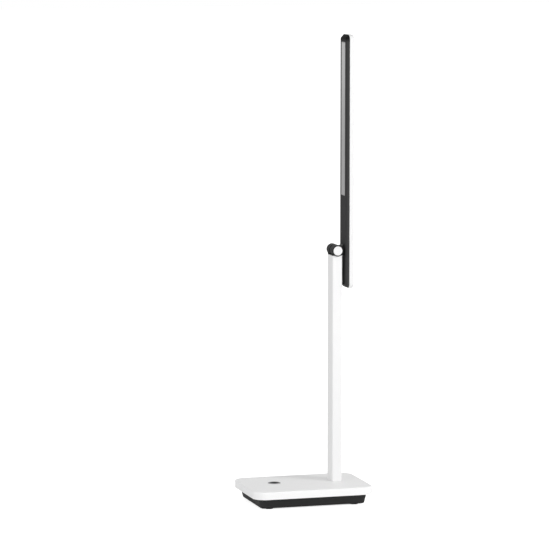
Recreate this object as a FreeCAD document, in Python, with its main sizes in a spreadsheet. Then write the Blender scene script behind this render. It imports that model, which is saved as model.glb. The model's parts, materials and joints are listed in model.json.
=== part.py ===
"""Bedside lamp with a flat base, a square stem and a long slim light arm on a friction hinge.

Frame: millimetres, +Z up, +X to the right of the front, +Y to the back.
The origin is on the floor, under the middle of the base.
The arm stands straight up at rest and folds to the left, down beside the stem.
Arm pieces are drawn from the hinge axis: X is away from the light, Z runs to the arm's tip.
"""
import FreeCAD, Part
import Sketcher
import math
import os
import re
from FreeCAD import Placement, Rotation, Vector

doc = FreeCAD.newDocument("bedside_lamp")
sheet = doc.addObject("Spreadsheet::Sheet", "Sizes")

# Driving dimensions: name, value, meaning

DIMENSIONS = [
    ("base_length", 194, "white slab of the base, along X"),
    ("base_depth", 135, "white slab of the base, along Y"),
    ("base_corner", 19, "corner radius of the slab in plan"),
    ("cover_bottom", 17.7, "underside of the slab above the floor"),
    ("cover_height", 12, "thickness of the slab"),
    ("cover_wall", 2.5, "side wall of the cover"),
    ("cover_roof", 2.6, "top wall of the cover"),
    ("cover_edge", 1.2, "chamfer of the cover's top edge"),
    ("rib_place_left", 84, "rib under the roof, left of the middle"),
    ("rib_place_middle", 12, "rib under the roof, right of the middle"),
    ("rib_place_right", 76, "rib under the roof, far right"),
    ("rib_place_y", 40, "long ribs under the roof, front and back"),
    ("rib_depth", 2.2, "ribs under the cover's roof"),
    ("rib_width", 1.4, "thickness of every moulded rib"),
    ("foot_height", 1.8, "how far the feet stand out below the plinth"),
    ("foot_radius", 7.5, "round rubber foot"),
    ("foot_slope", 12, "degrees that the foot's side leans in towards the floor"),
    ("foot_place_x", 69, "feet left and right of the middle"),
    ("foot_place_y", 43, "feet in front of and behind the middle"),
    ("plinth_inset", 8.5, "plinth stands back from the slab all round"),
    ("plinth_draft", 4.4, "plinth narrows towards the floor by this much a side"),
    ("plinth_wall", 2.2, "side wall of the plinth"),
    ("plinth_floor", 2.2, "floor of the plinth"),
    ("flange_height", 1.6, "rim of the plinth inside the cover"),
    ("flange_gap", 0.25, "gap between that rim and the cover's wall"),
    ("post_radius", 5, "screw posts on the plinth's floor"),
    ("short_post_height", 3, "height above the floor of the posts under the stem"),
    ("recess_radius", 3.7, "recess for a screw head, from below"),
    ("recess_depth", 3.2, "depth of that recess"),
    ("cover_screw_x", 50, "screws that hold the cover, left and right"),
    ("cover_screw_y", 45.5, "screws that hold the cover, front and back"),
    ("cover_boss_radius", 4.4, "boss in the cover for each of these screws"),
    ("cover_screw_radius", 1.4, "core of these screws and of their pilot holes"),
    ("cover_screw_grip", 6.4, "length of these screws in the cover's bosses"),
    ("cover_head_radius", 3.2, "head of these screws"),
    ("cover_head_height", 2.2, "thickness of that head"),
    ("ballast_length", 150, "steel weight in the base, along X"),
    ("ballast_depth", 78, "steel weight in the base, along Y"),
    ("ballast_height", 6, "thickness of the steel weight"),
    ("ballast_corner", 14, "cut corner of the steel weight"),
    ("ballast_hole", 5.6, "hole in the weight round a screw post"),
    ("ballast_edge", 0.5, "chamfer of the weight's upper edge"),
    ("ballast_gap", 0.3, "gap between the weight and the ribs that hold it"),
    ("stop_length", 12, "ribs that hold the weight"),
    ("stop_height", 5, "height of those ribs"),
    ("stop_place_x", 28, "ribs in front of and behind the weight, left and right"),
    ("stem_x", 54, "middle of the stem, right of the base's middle"),
    ("stem_y", 8.7, "middle of the stem, behind the base's middle"),
    ("stem_width", 16, "stem section along X"),
    ("stem_depth", 27, "stem section along Y"),
    ("stem_edge", 1.8, "rounded long edges of the stem"),
    ("stem_wall", 1.6, "wall of the stem tube"),
    ("spigot_edge", 1.6, "cut corners of what the tube is pushed on to"),
    ("socket_gap", 0.2, "gap between the stem and the hole in the cover"),
    ("spigot_gap", 0.1, "gap between the tube and what it is pushed on to"),
    ("spigot_height", 42, "foot casting inside the tube"),
    ("spigot_wall", 2.6, "wall of the foot casting's spigot"),
    ("spigot_lead_in", 1, "chamfer at the spigot's tip"),
    ("foot_flange_length", 46, "flange of the foot casting along X"),
    ("foot_flange_depth", 56, "flange of the foot casting along Y"),
    ("foot_flange_height", 3, "thickness of that flange"),
    ("foot_flange_corner", 7, "cut corners of that flange"),
    ("foot_screw_x", 17, "flange screws, left and right of the stem"),
    ("foot_screw_y", 21, "flange screws, in front of and behind the stem"),
    ("foot_screw_radius", 1.8, "core of the flange screws"),
    ("foot_head_radius", 3.4, "head of the flange screws"),
    ("foot_head_height", 2.4, "thickness of that head"),
    ("foot_boss_radius", 4.6, "boss on the flange for each screw"),
    ("foot_boss_height", 7, "height of these bosses above the flange"),
    ("lock_screw_y", 6, "screws that lock the tube, in front of and behind its middle"),
    ("lock_screw_height", 6, "these screws above the flange"),
    ("lock_screw_radius", 1.25, "core of these screws"),
    ("lock_screw_length", 4.4, "length of their shanks"),
    ("small_head_radius", 2.3, "head of the locking screws and the board's screws"),
    ("small_head_height", 1.7, "thickness of that head"),
    ("lead_slot_width", 4.4, "slot for the lead in the tube and the casting"),
    ("lead_slot_height", 6, "height of that slot"),
    ("lead_rise", 6.5, "middle of that slot and of its lead above the flange"),
    ("pivot_height", 394.4, "hinge axis above the floor"),
    ("pivot_drop", 7.7, "top of the stem tube below the hinge axis"),
    ("barrel_radius", 8.8, "round ears of the hinge and the knuckle between them"),
    ("barrel_half", 16, "hinge axis middle to the ears' outer faces"),
    ("ear_front_gap", 7.8, "inner face of the front ear"),
    ("ear_rear_gap", 8.5, "inner face of the rear ear"),
    ("cradle_radius", 9.2, "hollow under the turning knuckle"),
    ("head_plug", 34, "hinge head inside the tube"),
    ("cap_radius", 7.3, "round cap on each end of the hinge"),
    ("cap_height", 1.3, "depth of the cap's seat"),
    ("cap_gap", 0.05, "gap round the cap"),
    ("cap_proud", 0.5, "how far the cap stands out in its middle"),
    ("cap_slope", 0.5, "sloping border of the cap"),
    ("axle_radius", 3, "hinge pin"),
    ("axle_head_radius", 5.1, "head of the hinge pin"),
    ("axle_head_height", 2.4, "thickness of that head and of the nut"),
    ("nut_width", 8, "hinge nut across its flats"),
    ("thread_radius", 2.5, "threaded end of the hinge pin"),
    ("key_width", 4, "hexagonal key socket in the pin's head"),
    ("key_depth", 1.4, "depth of the key socket"),
    ("knuckle_half", 6.8, "half the width of the turning knuckle"),
    ("bush_radius", 4.4, "outside of the eight-sided bush, at its corners"),
    ("washer_radius", 8.3, "friction washers, at their corners"),
    ("washer_gap", 0.1, "gap between the knuckle and the washers"),
    ("rear_washer_height", 0.6, "steel friction washer"),
    ("disc_radius", 6.6, "spring discs, at their corners"),
    ("pin_gap", 0.03, "gap between the pin and the flats of the bores round it"),
    ("arm_width", 38, "light arm across, along Y"),
    ("arm_above", 336.3, "arm's tip above the hinge axis"),
    ("arm_below", 59.3, "arm's tail below the hinge axis"),
    ("arm_corner", 8, "corner radius of the arm in plan"),
    ("arm_offset", 12.8, "hinge axis to the arm's flat underside"),
    ("tray_height", 5, "sloping dark tray, sides at 45 degrees"),
    ("tray_floor", 1.8, "floor of the tray"),
    ("tray_wall", 2.9, "sloping wall of the tray, measured level"),
    ("lip_height", 2, "lip of the tray inside the shell"),
    ("lip_wall", 1.2, "thickness of that lip"),
    ("lip_gap", 0.1, "gap between the lip and the shell's wall"),
    ("shell_height", 7.5, "white shell of the arm"),
    ("shell_wall", 1.6, "side wall of the shell"),
    ("shell_roof", 1.8, "back wall of the shell"),
    ("shell_edge", 1, "chamfer of the shell's back edge"),
    ("shell_boss_radius", 3.2, "boss in the shell for each screw through the spine"),
    ("lens_start", 85, "near end of the diffuser from the hinge axis"),
    ("lens_length", 240, "diffuser seen through the tray"),
    ("lens_width", 20, "diffuser seen through the tray"),
    ("lens_corner", 2, "corner radius of the diffuser"),
    ("lens_proud", 1, "how far the diffuser stands out of the tray"),
    ("lens_edge", 0.5, "chamfer of the diffuser's outer edge"),
    ("lens_flange", 2, "width of the diffuser's hidden rim"),
    ("lens_flange_height", 1.2, "thickness of that rim"),
    ("lens_gap", 0.15, "gap between the diffuser and its window"),
    ("reflector_height", 2.5, "white trough round the lights"),
    ("reflector_width", 22.6, "white trough across"),
    ("trough_width", 13, "trough at the lights, across"),
    ("trough_end", 4, "trough stops short of the diffuser's ends"),
    ("board_width", 20, "light board across"),
    ("board_height", 1.2, "thickness of the light board"),
    ("light_pitch", 16.8, "from one light to the next"),
    ("light_rows_half", 3.4, "rows of lights from the middle line"),
    ("light_length", 3.4, "one light along the arm"),
    ("light_width", 2.8, "one light across"),
    ("light_height", 0.7, "one light's thickness"),
    ("spine_width", 26, "aluminium channel in the arm, across"),
    ("spine_height", 2, "web of the channel"),
    ("spine_lip", 1.5, "side lips of the channel"),
    ("spine_start", 52, "channel reaches this far below the axis"),
    ("spine_end", 327, "channel reaches this far above the axis"),
    ("neck_half", 6.6, "half thickness of the knuckle's neck"),
    ("neck_foot_half", 8.6, "half length of the neck's wider foot"),
    ("neck_block_half", 13, "half length of the block inside the tray"),
    ("neck_block_width", 20, "width of that block"),
    ("neck_screw_y", 7, "screws through the spine into the block, across"),
    ("neck_screw_z", 9.5, "these screws along the arm"),
    ("arm_screw_radius", 1.25, "core of the screws in the arm"),
    ("arm_screw_head", 2.4, "head of these screws"),
    ("arm_screw_height", 1.5, "thickness of that head"),
    ("groove_half", 2.2, "half width of the lead's groove in the knuckle"),
    ("button_x", 45, "button left of the base's middle"),
    ("button_radius", 10, "round push button"),
    ("button_gap", 0.25, "gap round the button"),
    ("button_rim", 1.2, "hidden rim that keeps the button in"),
    ("button_dish", 1.1, "hollow in the button's top"),
    ("button_proud", 0.4, "how far the button's edge stands above the cover"),
    ("button_edge", 0.4, "chamfer of the button's edge"),
    ("button_border", 1, "flat border round the hollow"),
    ("button_middle", 3, "flat middle of the hollow"),
    ("button_stalk", 2.6, "stalk that pushes the plunger"),
    ("button_skirt", 4.9, "stalk's end below the cover's roof"),
    ("button_travel", 1, "how far the button goes down"),
    ("guide_wall", 1.5, "round guide under the cover for the button"),
    ("board_length", 66, "control board along X"),
    ("board_depth", 62, "control board along Y"),
    ("board_x", 45, "control board left of the base's middle"),
    ("board_y", 5, "control board behind the base's middle"),
    ("board_screw_x", 26, "board's screws, left and right of its middle"),
    ("board_screw_y", 24, "board's screws, front and back of its middle"),
    ("board_bottom", 16.2, "underside of the control board above the floor"),
    ("board_screw_radius", 1.05, "core of the board's screws"),
    ("board_boss_radius", 3.2, "boss in the cover for each of these screws"),
    ("board_thickness", 1.6, "control board"),
    ("switch_size", 6.2, "square key switch under the button"),
    ("switch_clearance", 0.1, "gap between its case and the stalk of the pressed button"),
    ("coil_radius", 5, "flanges of the coil on the control board"),
    ("coil_waist", 3.9, "winding of the coil"),
    ("coil_flange", 1.2, "thickness of its flanges"),
    ("coil_height", 6, "height of the coil"),
    ("can_radius", 4, "capacitor on the control board"),
    ("can_seal", 1, "narrower seal at the capacitor's foot"),
    ("can_height", 7.8, "height of the capacitor"),
    ("chip_length", 5, "chip along X"),
    ("chip_width", 6.2, "chip along Y"),
    ("chip_height", 1.6, "thickness of the chip"),
    ("socket_length", 6, "lead socket along X"),
    ("socket_width", 7.6, "lead socket along Y"),
    ("socket_height", 5.2, "height of the lead socket"),
    ("parts_x", 64, "coil, capacitor and chip left of the base's middle"),
    ("plunger_width", 3.5, "its square plunger"),
    ("plunger_gap", 0.2, "gap round the plunger"),
    ("inlet_x", 20, "power inlet left of the base's middle"),
    ("inlet_height", 10, "power inlet above the floor"),
    ("inlet_face", 53.7, "flat face round the inlet, behind the base's middle"),
    ("inlet_radius", 5.2, "round collar of the inlet"),
    ("inlet_bore", 3.1, "socket for the plug's barrel"),
    ("inlet_pin", 1, "centre pin of the inlet"),
    ("inlet_collar", 1.2, "thickness of the collar"),
    ("inlet_neck", 4, "neck of the inlet behind the collar, at its corners"),
    ("inlet_depth", 8, "depth of the socket behind the face"),
    ("inlet_wall", 3, "wall of the plinth that holds the inlet"),
    ("inlet_block_width", 22, "block in the plinth behind the inlet's recess"),
    ("inlet_recess_width", 16, "recess in the plinth round the inlet"),
    ("inlet_recess_height", 11.4, "height of that recess"),
    ("inlet_nut_width", 10.4, "nut of the inlet across its flats"),
    ("inlet_nut_height", 2.4, "thickness of that nut"),
    ("stem_lead_width", 3, "flat two-core lead in the stem"),
    ("stem_lead_height", 1.5, "thickness of that lead"),
    ("arm_lead_width", 2.4, "flat two-core lead in the arm"),
    ("arm_lead_height", 1.1, "thickness of that lead"),
]

for row, (name, number, meaning) in enumerate(DIMENSIONS, start=1):
    sheet.set(f"A{row}", meaning)
    sheet.set(f"B{row}", str(number))
    sheet.setAlias(f"B{row}", name)
doc.recompute()

ALIASES = {name for name, number, meaning in DIMENSIONS}
NODES = []


def formula(text):
    """Write a formula of dimension names the way an object outside the sheet needs it."""

    def full_name(word):
        prefix = "Sizes." if word.group() in ALIASES else ""
        return prefix + word.group()

    return re.sub(r"[a-z_]+", full_name, str(text))


def value(text):
    """Number that a formula gives now."""
    result = sheet.evalExpression(str(text))
    return float(getattr(result, "Value", result))


def bind(thing, setting, text):
    """Tie one setting of an object to the sheet."""
    thing.setExpression(setting, formula(text))


# Sketch geometry: each function returns one that adds its shape to a sketch


def held_points(sketch, index_and_end, x, y, key, only="xy"):
    """Hold one end point of a curve at a place given by two formulas."""
    curve, end = index_and_end
    for kind, text, axis in (("DistanceX", x, "x"), ("DistanceY", y, "y")):
        if axis not in only:
            continue
        constraint = sketch.addConstraint(Sketcher.Constraint(kind, -1, 1, curve, end, value(text)))
        sketch.renameConstraint(constraint, f"{key}{axis}")
        bind(sketch, f"Constraints.{key}{axis}", text)


def polygon(*corners):
    """Closed outline through corners given as pairs of formulas."""
    def add(sketch, key):
        places = [Vector(value(x), value(y), 0) for x, y in corners]
        first = sketch.GeometryCount
        for i, place in enumerate(places):
            sketch.addGeometry(Part.LineSegment(place, places[(i + 1) % len(places)]))
        for i, (x, y) in enumerate(corners):
            after = (i + 1) % len(corners)
            sketch.addConstraint(Sketcher.Constraint("Coincident", first + i, 2, first + after, 1))
            held_points(sketch, (first + i, 1), x, y, f"{key}p{i}")
    return add


def rectangle(width, height, x="0", y="0"):
    """Rectangle about a centre."""
    left, right = f"({x}) - ({width}) / 2", f"({x}) + ({width}) / 2"
    low, high = f"({y}) - ({height}) / 2", f"({y}) + ({height}) / 2"
    return polygon((left, low), (right, low), (right, high), (left, high))


def circle(radius, x="0", y="0"):
    """Full circle."""
    def add(sketch, key):
        centre = Vector(value(x), value(y), 0)
        index = sketch.addGeometry(Part.Circle(centre, Vector(0, 0, 1), value(radius)))
        size = sketch.addConstraint(Sketcher.Constraint("Radius", index, value(radius)))
        sketch.renameConstraint(size, f"{key}r")
        bind(sketch, f"Constraints.{key}r", radius)
        held_points(sketch, (index, 3), x, y, f"{key}c")
    return add


def rounded_rectangle(width, height, corner, x="0", y="0"):
    """Rectangle with round corners: four lines joined by four tangent arcs."""
    def add(sketch, key):
        half_w, half_h, r = value(width) / 2, value(height) / 2, value(corner)
        mid_x, mid_y = value(x), value(y)
        first = sketch.GeometryCount
        turns = [(1, 1), (-1, 1), (-1, -1), (1, -1)]
        centres = [Vector(mid_x + sx * (half_w - r), mid_y + sy * (half_h - r), 0) for sx, sy in turns]
        for i, centre in enumerate(centres):
            ring = Part.Circle(centre, Vector(0, 0, 1), r)
            start = i * math.pi / 2
            sketch.addGeometry(Part.ArcOfCircle(ring, start, start + math.pi / 2))
        for i, centre in enumerate(centres):
            after = centres[(i + 1) % 4]
            angle = (i + 1) * math.pi / 2
            out = Vector(math.cos(angle), math.sin(angle), 0) * r
            sketch.addGeometry(Part.LineSegment(centre + out, after + out))
        for i in range(4):
            sketch.addConstraint(Sketcher.Constraint("Tangent", first + i, 2, first + 4 + i, 1))
            sketch.addConstraint(Sketcher.Constraint("Tangent", first + 4 + i, 2, first + (i + 1) % 4, 1))
            side = "Horizontal" if i % 2 == 0 else "Vertical"
            sketch.addConstraint(Sketcher.Constraint(side, first + 4 + i))
        for i in (1, 2, 3):
            sketch.addConstraint(Sketcher.Constraint("Equal", first, first + i))
        size = sketch.addConstraint(Sketcher.Constraint("Radius", first, r))
        sketch.renameConstraint(size, f"{key}r")
        bind(sketch, f"Constraints.{key}r", corner)
        held_points(sketch, (first, 3), f"({x}) + ({width}) / 2 - ({corner})",
                    f"({y}) + ({height}) / 2 - ({corner})", f"{key}a")
        held_points(sketch, (first + 2, 3), f"({x}) - ({width}) / 2 + ({corner})",
                    f"({y}) - ({height}) / 2 + ({corner})", f"{key}b")
    return add


def cut_rectangle(width, height, cut, x="0", y="0"):
    """Rectangle whose four corners are cut at 45 degrees."""
    corners = []
    for side, end in ((1, 1), (-1, 1), (-1, -1), (1, -1)):
        far_x, far_y = f"({x}) + {side} * ({width}) / 2", f"({y}) + {end} * ({height}) / 2"
        pair = [(far_x, f"{far_y} - {end} * ({cut})"), (f"{far_x} - {side} * ({cut})", far_y)]
        corners += pair if side == end else reversed(pair)
    return polygon(*corners)


def many_sided(sides, radius, x="0", y="0"):
    """Regular polygon inside a circle, with a flat side towards +X: a round shape with few faces."""
    def add(sketch, key):
        centre, reach = Vector(value(x), value(y), 0), value(radius)
        guide = sketch.addGeometry(Part.Circle(centre, Vector(0, 0, 1), reach), True)
        size = sketch.addConstraint(Sketcher.Constraint("Radius", guide, reach))
        sketch.renameConstraint(size, f"{key}r")
        bind(sketch, f"Constraints.{key}r", radius)
        held_points(sketch, (guide, 3), x, y, f"{key}c")
        angles = [math.radians((i - 0.5) * 360 / sides) for i in range(sides)]
        corners = [centre + Vector(math.cos(angle), math.sin(angle), 0) * reach for angle in angles]
        first = sketch.GeometryCount
        for i, corner in enumerate(corners):
            sketch.addGeometry(Part.LineSegment(corner, corners[(i + 1) % sides]))
        for i in range(sides):
            after = first + (i + 1) % sides
            sketch.addConstraint(Sketcher.Constraint("Coincident", first + i, 2, after, 1))
            sketch.addConstraint(Sketcher.Constraint("PointOnObject", first + i, 1, guide))
            if i:
                sketch.addConstraint(Sketcher.Constraint("Equal", first, first + i))
        sketch.addConstraint(Sketcher.Constraint("Vertical", first))
    return add


def hexagon(across):
    """Regular hexagon of a width across its flats, about the sketch's origin."""
    return many_sided(6, f"({across}) / 2 / cos(30)")


def ring_sector(inner, outer, start, end):
    """Part of a flat ring between two angles in degrees, about the sketch's origin."""
    def add(sketch, key):
        first = sketch.GeometryCount
        for radius in (outer, inner):
            whole = Part.Circle(Vector(0, 0, 0), Vector(0, 0, 1), value(radius))
            sketch.addGeometry(Part.ArcOfCircle(whole, math.radians(start), math.radians(end)))
        for end_point, angle in ((1, start), (2, end)):
            ray = Vector(math.cos(math.radians(angle)), math.sin(math.radians(angle)), 0)
            line = sketch.addGeometry(Part.LineSegment(ray * value(outer), ray * value(inner)))
            sketch.addConstraint(Sketcher.Constraint("Coincident", first, end_point, line, 1))
            sketch.addConstraint(Sketcher.Constraint("Coincident", first + 1, end_point, line, 2))
        for i, radius in ((0, outer), (1, inner)):
            sketch.addConstraint(Sketcher.Constraint("Coincident", first + i, 3, -1, 1))
            steep = "x" if abs(math.sin(math.radians(end))) > 0.7 else "y"
            for end_point, angle, tag, only in ((1, start, "s", "xy"), (2, end, "e", steep)):
                held_points(sketch, (first + i, end_point), f"({radius}) * cos({angle})",
                            f"({radius}) * sin({angle})", f"{key}{tag}{i}", only)
    return add


# Bodies and features


def new_body(label, x="0", y="0", z="0"):
    """Body whose own origin lies at a place in the lamp's frame."""
    body = doc.addObject("PartDesign::Body", label)
    body.Label = label
    for axis, text in (("x", x), ("y", y), ("z", z)):
        bind(body, f"Placement.Base.{axis}", text)
    NODES.append(body)
    return body


def hinge_body(label):
    """Body drawn about the middle of the hinge axis."""
    return new_body(label, "stem_x", "stem_y", "pivot_height")


def sketch_on(body, name, plane, at, shapes):
    """Sketch parallel to an origin plane, where the plane's own axis reads the value at."""
    sketch = body.newObject("Sketcher::SketchObject", name + "_sketch")
    support = [item for item in body.Origin.OriginFeatures if item.Role == plane + "_Plane"][0]
    sketch.AttachmentSupport = [(support, "")]
    sketch.MapMode = "FlatFace"
    side = -1 if plane == "XZ" else 1
    bind(sketch, "AttachmentOffset.Base.z", f"{side} * ({at})")
    for i, shape in enumerate(shapes):
        shape(sketch, f"s{i}")
    return sketch


def extrude(body, kind, name, plane, start, end, shapes, taper=None):
    """Pad or pocket between two positions along the axis that is normal to the plane."""
    sketch = sketch_on(body, name, plane, start, shapes)
    feature = body.newObject(f"PartDesign::{kind}", name)
    feature.Profile = (sketch, [""])
    feature.Type = "Length"
    span = value(end) - value(start)
    bind(feature, "Length", f"abs(({end}) - ({start}))")
    along_normal = (span > 0) != (plane == "XZ")
    feature.Reversed = along_normal if kind == "Pocket" else not along_normal
    if taper:
        bind(feature, "TaperAngle", taper)
    sketch.Visibility = False
    return feature


def pad(body, name, plane, start, end, *shapes, taper=None):
    return extrude(body, "Pad", name, plane, start, end, shapes, taper)


def pocket(body, name, plane, start, end, *shapes, taper=None):
    return extrude(body, "Pocket", name, plane, start, end, shapes, taper)


def round_edges(body, kind, name, size, chosen):
    """Fillet or chamfer of the edges that a test picks from the shape so far."""
    doc.recompute()
    base = body.Tip
    names = [f"Edge{i}" for i, edge in enumerate(base.Shape.Edges, start=1) if chosen(edge)]
    feature = body.newObject(f"PartDesign::{kind}", name)
    feature.Base = (base, names)
    bind(feature, "Radius" if kind == "Fillet" else "Size", size)
    return feature


def lies_at(axis, text):
    """Test for edges that lie wholly at one position along an axis."""
    place = value(text)

    def chosen(edge):
        box = edge.BoundBox
        low, high = getattr(box, axis + "Min"), getattr(box, axis + "Max")
        return abs(low - place) < 0.01 and abs(high - place) < 0.01
    return chosen


def corners_of(x, y):
    """Four places, mirrored left to right and front to back."""
    return [(f"{sx} * ({x})", f"{sy} * ({y})") for sx in (-1, 1) for sy in (-1, 1)]


def prisms_at(sides, radius, places):
    return [many_sided(sides, radius, x, y) for x, y in places]


# Screws: a head and a shank in one solid, both with few sides because there are many screws

SCREW_SIDES = 6
POST_SIDES = 8
WASHER_SIDES = 16
FOOT_SIDES = 16


def screw(name, head_radius, head_height, shank_radius, shank_length, place, turn=0):
    """Screw with its head's seat at a place. Its shank points up, or along X after a turn about Y.

    Its flats lie the same way as those of the holes, whose sketches are drawn on another plane for a turn.
    """
    tools = []
    for part, radius, height, base in (("head", head_radius, head_height, f"-({head_height})"),
                                       ("shank", shank_radius, shank_length, "0")):
        piece = doc.addObject("Part::Prism", f"{name}_{part}")
        piece.Polygon = SCREW_SIDES
        piece.Placement.Rotation = Rotation(Vector(0, 0, 1), 0 if turn else 180 / SCREW_SIDES)
        bind(piece, "Circumradius", radius)
        bind(piece, "Height", height)
        bind(piece, "Placement.Base.z", base)
        tools.append(piece)
    whole = doc.addObject("Part::MultiFuse", name)
    whole.Shapes = tools
    whole.Placement.Rotation = Rotation(Vector(0, 1, 0), turn)
    for axis, text in zip("xyz", place):
        bind(whole, f"Placement.Base.{axis}", text)
    return whole


def group(label, pieces):
    """Node that holds several equal solids."""
    node = doc.addObject("Part::Compound", label)
    node.Label = label
    node.Links = pieces
    NODES.append(node)
    return node


def plain_box(label, sizes, place):
    """Box about a centre in plan, standing on a height."""
    box = doc.addObject("Part::Box", label)
    box.Label = label
    length, width, height = sizes
    x, y, z = place
    bind(box, "Length", length)
    bind(box, "Width", width)
    bind(box, "Height", height)
    bind(box, "Placement.Base.x", f"({x}) - ({length}) / 2")
    bind(box, "Placement.Base.y", f"({y}) - ({width}) / 2")
    bind(box, "Placement.Base.z", z)
    NODES.append(box)


# Heights that several pieces share

COVER_TOP = "(cover_bottom + cover_height)"
ROOF_UNDER = "(cover_bottom + cover_height - cover_roof)"
FLOOR_TOP = "(foot_height + plinth_floor)"
RIM_TOP = "(cover_bottom + flange_height)"
SHORT_POST_TOP = "(foot_height + plinth_floor + short_post_height)"
SEAT = "(foot_height + recess_depth)"
BALLAST_TOP = "(foot_height + plinth_floor + ballast_height)"
CASTING_TOP = "(foot_height + plinth_floor + ballast_height + foot_flange_height)"
BOARD_TOP = "(board_bottom + board_thickness)"
STALK_END = "(cover_bottom + cover_height - cover_roof - button_skirt)"
SWITCH_HEIGHT = f"({STALK_END} - button_travel - switch_clearance - {BOARD_TOP})"
STEM_TOP = "(pivot_height - pivot_drop)"
COVER_SCREWS = corners_of("cover_screw_x", "cover_screw_y")
FOOT_SCREWS = corners_of("foot_screw_x", "foot_screw_y")
FOOT_SCREWS_IN_BASE = [(f"stem_x + {x}", f"stem_y + {y}") for x, y in FOOT_SCREWS]
BOARD_SCREWS = [(f"{x} - board_x", f"{y} + board_y") for x, y in corners_of("board_screw_x", "board_screw_y")]
LOCK_SCREWS = ["-lock_screw_y", "lock_screw_y"]
NECK_SCREWS = corners_of("neck_screw_y", "neck_screw_z")
SHELL_SCREWS = [("-7", "72"), ("7", "30"), ("0", "-34")]
SHELL_RIBS = [-46, -20, 48, 96, 144, 192, 240, 288]

# Stack of the arm, from the hinge axis outwards along X

TRAY_FLOOR = "(arm_offset + tray_floor)"
SPLIT = "(arm_offset + tray_height)"
REFLECTOR = "(arm_offset + tray_floor + lens_flange_height)"
BOARD = "(arm_offset + tray_floor + lens_flange_height + reflector_height)"
SPINE = "(arm_offset + tray_floor + lens_flange_height + reflector_height + board_height)"
SPINE_BACK = "(arm_offset + tray_floor + lens_flange_height + reflector_height + board_height + spine_height)"
ARM_BACK = "(arm_offset + tray_height + shell_height)"
ARM_LENGTH = "(arm_above + arm_below)"
ARM_MIDDLE = "((arm_above - arm_below) / 2)"
LENS_MIDDLE = "(lens_start + lens_length / 2)"


def arm_outline(inset, outline=rounded_rectangle):
    """Outline of the arm in plan, drawn in by an inset."""
    return outline(f"arm_width - 2 * ({inset})", f"{ARM_LENGTH} - 2 * ({inset})",
                   f"arm_corner - ({inset})", y=ARM_MIDDLE)


def base_outline(inset, outline=rounded_rectangle):
    """Outline of the base in plan, drawn in by an inset."""
    return outline(f"base_length - 2 * ({inset})", f"base_depth - 2 * ({inset})", f"base_corner - ({inset})")


# Base


def make_base_cover():
    body = new_body("base_cover")
    pad(body, "slab", "XY", "cover_bottom", COVER_TOP, base_outline("0"))
    round_edges(body, "Chamfer", "top_edge", "cover_edge", lies_at("Z", COVER_TOP))
    pocket(body, "hollow", "XY", "cover_bottom", ROOF_UNDER, base_outline("cover_wall", cut_rectangle))
    inner_length, inner_depth = "(base_length - 2 * cover_wall + 0.4)", "(base_depth - 2 * cover_wall + 0.4)"
    across = [rectangle("rib_width", inner_depth, x)
              for x in ("-rib_place_left", "rib_place_middle", "rib_place_right")]
    pad(body, "ribs_across", "XY", ROOF_UNDER, f"{ROOF_UNDER} - rib_depth", *across)
    along = [rectangle(inner_length, "rib_width", "0", y) for y in ("-rib_place_y", "rib_place_y")]
    pad(body, "ribs_along", "XY", ROOF_UNDER, f"{ROOF_UNDER} - rib_depth", *along)
    pad(body, "cover_bosses", "XY", ROOF_UNDER, RIM_TOP,
        *prisms_at(SCREW_SIDES, "cover_boss_radius", COVER_SCREWS))
    pad(body, "board_bosses", "XY", ROOF_UNDER, BOARD_TOP,
        *prisms_at(SCREW_SIDES, "board_boss_radius", BOARD_SCREWS))
    guide = "button_radius + button_rim + 2 * button_gap"
    pad(body, "button_guide", "XY", ROOF_UNDER, STALK_END,
        many_sided(WASHER_SIDES, f"{guide} + guide_wall", "-button_x", "stem_y"))
    pocket(body, "guide_bore", "XY", STALK_END, ROOF_UNDER,
           many_sided(WASHER_SIDES, guide, "-button_x", "stem_y"))
    pocket(body, "button_hole", "XY", ROOF_UNDER, COVER_TOP,
           circle("button_radius + button_gap", "-button_x", "stem_y"))
    pocket(body, "stem_hole", "XY", ROOF_UNDER, COVER_TOP,
           rounded_rectangle("stem_width + 2 * socket_gap", "stem_depth + 2 * socket_gap",
                             "stem_edge + socket_gap", "stem_x", "stem_y"))
    pocket(body, "cover_pilots", "XY", RIM_TOP, f"{RIM_TOP} + cover_screw_grip + 0.6",
           *prisms_at(SCREW_SIDES, "cover_screw_radius", COVER_SCREWS))
    pocket(body, "board_pilots", "XY", BOARD_TOP, f"{BOARD_TOP} + 7",
           *prisms_at(SCREW_SIDES, "board_screw_radius", BOARD_SCREWS))


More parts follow.
